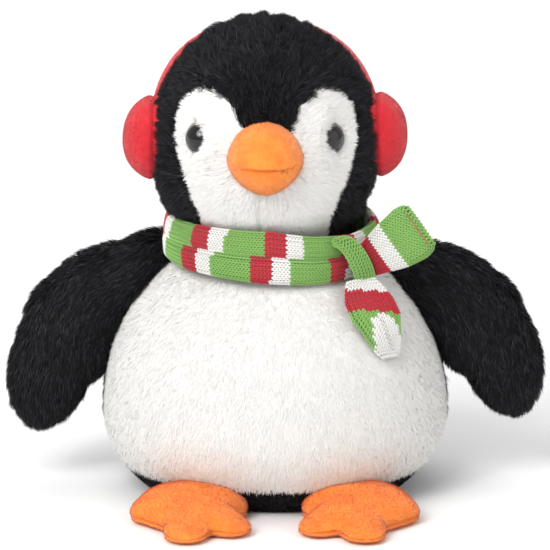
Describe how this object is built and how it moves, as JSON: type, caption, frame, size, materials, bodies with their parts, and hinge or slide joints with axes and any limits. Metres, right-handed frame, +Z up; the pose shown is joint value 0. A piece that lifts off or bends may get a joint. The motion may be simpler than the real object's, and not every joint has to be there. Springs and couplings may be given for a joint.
{
  "type": "plush penguin",
  "caption": "Seated stuffed penguin with a white face and belly, long black fur, orange beak and feet, red earmuffs and a striped knitted scarf tied at one side.",
  "frame": {"origin": "centre of the flat underside that the toy stands on", "axes": "+Z up, -Y the way the penguin faces, +X towards the penguin's own left flipper"},
  "size_m": [0.3268, 0.2476, 0.2937],
  "materials": {
    "black_fur": "long pile, soft sheen",
    "white_plush": "short brushed pile",
    "orange_plush": "short minky pile",
    "red_velour": "smooth velour",
    "scarf_knit": "green, red and white stocking stitch",
    "eye_plastic": "polished",
    "washer_plastic": "moulded",
    "stuffing": "loose polyester fibre",
    "pouch_cloth": "plain woven cotton",
    "label_satin": "blank satin ribbon"
  },
  "bodies": {
    "torso": {"belly_panel": "white_plush", "back_panel_left": "black_fur", "back_panel_right": "black_fur", "base_panel": "black_fur", "body_stuffing": "stuffing", "pellet_pouch": "pouch_cloth", "care_label": "label_satin", "scarf_loop": "scarf_knit", "scarf_knot": "scarf_knit"},
    "head": {"crown_panel": "black_fur", "side_panel_left": "black_fur", "side_panel_right": "black_fur", "face_panel_left": "white_plush", "face_panel_right": "white_plush", "head_stuffing": "stuffing", "beak_upper": "orange_plush", "beak_lower": "orange_plush", "beak_stuffing": "stuffing", "eye_left": "eye_plastic", "eye_right": "eye_plastic", "eye_washer_left": "washer_plastic", "eye_washer_right": "washer_plastic", "headband": "red_velour", "earmuff_cover_left": "red_velour", "earmuff_cover_right": "red_velour", "earmuff_lining_left": "red_velour", "earmuff_lining_right": "red_velour", "earmuff_stuffing_left": "stuffing", "earmuff_stuffing_right": "stuffing"},
    "flipper_left": {"flipper_front_left": "black_fur", "flipper_back_left": "black_fur", "flipper_stuffing_left": "stuffing"},
    "flipper_right": {"flipper_front_right": "black_fur", "flipper_back_right": "black_fur", "flipper_stuffing_right": "stuffing"},
    "foot_left": {"foot_top_left": "orange_plush", "foot_sole_left": "orange_plush", "foot_stuffing_left": "stuffing"},
    "foot_right": {"foot_top_right": "orange_plush", "foot_sole_right": "orange_plush", "foot_stuffing_right": "stuffing"},
    "scarf_tail_upper": {"scarf_tail_upper": "scarf_knit"},
    "scarf_tail_lower": {"scarf_tail_lower": "scarf_knit"}
  },
  "joints": [
    {"name": "head_turn", "type": "hinge", "parent": "torso", "child": "head", "pos_m": [-0.006, 0, 0.1627], "axis": [0, 0, 1], "range_deg": [-20, 20], "stiffness_Nm_per_rad": 0.6},
    {"name": "flipper_left_lift", "type": "hinge", "parent": "torso", "child": "flipper_left", "pos_m": [0.084, 0.008, 0.13], "axis": [0, -1, 0], "range_deg": [0, 50]},
    {"name": "flipper_right_lift", "type": "hinge", "parent": "torso", "child": "flipper_right", "pos_m": [-0.084, 0.008, 0.13], "axis": [0, 1, 0], "range_deg": [0, 50]},
    {"name": "foot_left_lift", "type": "hinge", "parent": "torso", "child": "foot_left", "pos_m": [0.05, -0.064, 0], "axis": [-1, 0, 0], "range_deg": [0, 20]},
    {"name": "foot_right_lift", "type": "hinge", "parent": "torso", "child": "foot_right", "pos_m": [-0.05, -0.064, 0], "axis": [-1, 0, 0], "range_deg": [0, 20]},
    {"name": "scarf_upper_flap", "type": "hinge", "parent": "torso", "child": "scarf_tail_upper", "pos_m": [0.062, -0.046, 0.156], "axis": [-0.6018, 0, 0.7986], "range_deg": [-50, 0], "stiffness_Nm_per_rad": 0.01},
    {"name": "scarf_lower_flap", "type": "hinge", "parent": "torso", "child": "scarf_tail_lower", "pos_m": [0.054, -0.056, 0.138], "axis": [-0.8192, -0.5736, 0], "range_deg": [0, 60]}
  ]
}
